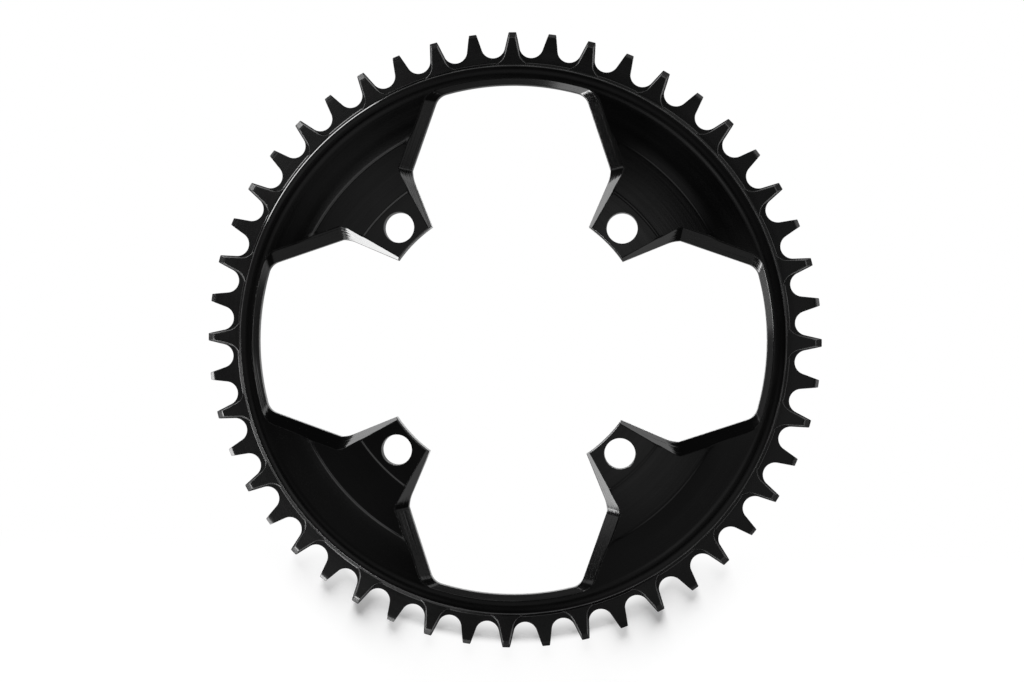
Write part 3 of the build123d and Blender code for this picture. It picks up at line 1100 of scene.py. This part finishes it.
def studio_room(studio):
    """Room round the table: white where its walls meet the floor and dark overhead, with the
    ceiling's soft patches."""
    world = bpy.data.worlds.new("studio_room")
    world.use_nodes = True
    nodes = Nodes(world.node_tree)
    way = nodes.add("TexCoord")["Generated"]
    rise = nodes.tree.nodes.new("ShaderNodeValToRGB")
    rise.color_ramp.interpolation = "EASE"
    ramp = rise.color_ramp.elements
    for end in (0, -1):
        position, level = WALL_STOPS[end]
        ramp[end].position, ramp[end].color = position, (level, level, level, 1.0)
    for position, level in WALL_STOPS[1:-1]:
        ramp.new(position).color = (level, level, level, 1.0)
    nodes.feed(rise.inputs["Fac"], nodes.add("SeparateXYZ", {0: way})["Z"])
    light = nodes.scaled(rise.outputs["Color"], studio.walls)
    for _, *patch in PATCHES:
        light = with_patch(nodes, light, way, *patch)
    nodes.feed(nodes.tree.nodes["Background"].inputs["Color"], light)
    return world


def aimed(lamp_data, tilt, turn, reach, lit):
    """Lamp placed at a tilt from straight above, a turn round the table and a reach, aimed at the
    ring. It lights only the collection given."""
    lamp = bpy.data.objects.new(lamp_data.name, lamp_data)
    lamp.rotation_euler = (0.0, tilt, turn)
    lamp.location = [reach * part for part in way_up(tilt, turn)]
    lamp.visible_camera = False
    lamp.light_linking.receiver_collection = lit
    bpy.context.scene.collection.objects.link(lamp)


def soft_panel(studio, lit, name, turn, tilt, width, height, brightness):
    """Soft rectangular panel: its turn and tilt in degrees, its size in metres and its
    brightness, which times its area gives its power."""
    data = bpy.data.lights.new(name, "AREA")
    data.shape = "RECTANGLE"
    data.size = height
    data.size_y = width
    data.energy = studio.panels * brightness * PANEL_POWER * width * height
    aimed(data, math.radians(tilt), math.radians(turn), studio.panel_reach, lit)


# Operators


class CHAINRING_OT_body(bpy.types.Operator):
    """Build the web, the rim and the arms with their bolt holes"""

    bl_idname = "chainring.body"
    bl_label = "Ring body"

    def execute(self, context):
        scene = context.scene
        teeth, body, opening = scene.chainring_teeth, scene.chainring_body, scene.chainring_opening
        circles = body_circles(teeth, body, opening)
        blank = make_mesh("chainring_body", *ring_body(teeth, body, opening))
        cutter = make_mesh("bolt_cutter", bolt_cutter(body, opening, circles))
        mesh = drilled(blank, cutter)
        mesh.name = "chainring_body"
        place("chainring_body", mesh, turned_and_milled(scene.chainring_finish))
        return {"FINISHED"}


class CHAINRING_OT_teeth(bpy.types.Operator):
    """Build the wide and narrow teeth round the rim"""

    bl_idname = "chainring.teeth"
    bl_label = "Teeth"

    def execute(self, context):
        scene = context.scene
        mesh = make_mesh("chainring_teeth", tooth_ring(scene.chainring_teeth, scene.chainring_body))
        place("chainring_teeth", mesh, cut_teeth(scene.chainring_finish))
        return {"FINISHED"}


class CHAINRING_OT_stage(bpy.types.Operator):
    """Set up the white table, the lamps and the camera"""

    bl_idname = "chainring.stage"
    bl_label = "Studio"

    def execute(self, context):
        scene = context.scene
        studio = scene.chainring_studio
        scene.view_settings.view_transform = "Standard"
        corners = np.array([(-1, -1, 0), (1, -1, 0), (1, 1, 0), (-1, 1, 0)])
        table_mesh = make_mesh("table", (corners * TABLE_HALF, np.array([[0, 1, 2, 3]])))
        table_mesh.materials.append(table_paint(studio))
        table = bpy.data.objects.new("table", table_mesh)
        scene.collection.objects.link(table)
        scene.world = studio_room(studio)
        pieces = bpy.data.collections.new("lit_pieces")
        for name in ("chainring_body", "chainring_teeth"):
            pieces.objects.link(bpy.data.objects[name])
        lit_table = bpy.data.collections.new("lit_table")
        lit_table.objects.link(table)
        for panel in PANELS:
            soft_panel(studio, pieces, *panel)
        sun = bpy.data.lights.new("shadow_lamp", "SUN")
        sun.energy = studio.sun
        sun.angle = studio.sun_size
        aimed(sun, studio.sun_tilt, studio.sun_turn, studio.panel_reach, lit_table)
        camera_data = bpy.data.cameras.new("camera")
        camera_data.lens = studio.lens
        camera = bpy.data.objects.new("camera", camera_data)
        camera.location = studio.camera_at
        camera.rotation_euler = studio.camera_turn
        scene.collection.objects.link(camera)
        scene.camera = camera
        return {"FINISHED"}


class CHAINRING_PT_panel(bpy.types.Panel):
    """Sidebar panel that lists the chainring's operators"""

    bl_idname = "CHAINRING_PT_panel"
    bl_label = "Chainring"
    bl_space_type = "VIEW_3D"
    bl_region_type = "UI"
    bl_category = "Chainring"

    def draw(self, context):
        for operator in OPERATORS:
            self.layout.operator(operator.bl_idname)


GROUPS = {
    "chainring_teeth": ToothSizes,
    "chainring_body": BodySizes,
    "chainring_opening": OpeningSizes,
    "chainring_finish": Finish,
    "chainring_studio": Studio,
}
OPERATORS = (CHAINRING_OT_body, CHAINRING_OT_teeth, CHAINRING_OT_stage)


def register():
    """Registers the classes and hangs the property groups on the scene."""
    for cls in (*GROUPS.values(), *OPERATORS, CHAINRING_PT_panel):
        bpy.utils.register_class(cls)
    for name, group in GROUPS.items():
        setattr(bpy.types.Scene, name, PointerProperty(type=group))


def unregister():
    """Undoes what register did."""
    for name in GROUPS:
        delattr(bpy.types.Scene, name)
    for cls in reversed((*GROUPS.values(), *OPERATORS, CHAINRING_PT_panel)):
        bpy.utils.unregister_class(cls)


def main():
    """Builds the ring and its studio."""
    register()
    bpy.ops.chainring.body()
    bpy.ops.chainring.teeth()
    bpy.ops.chainring.stage()


if __name__ == "__main__":
    main()
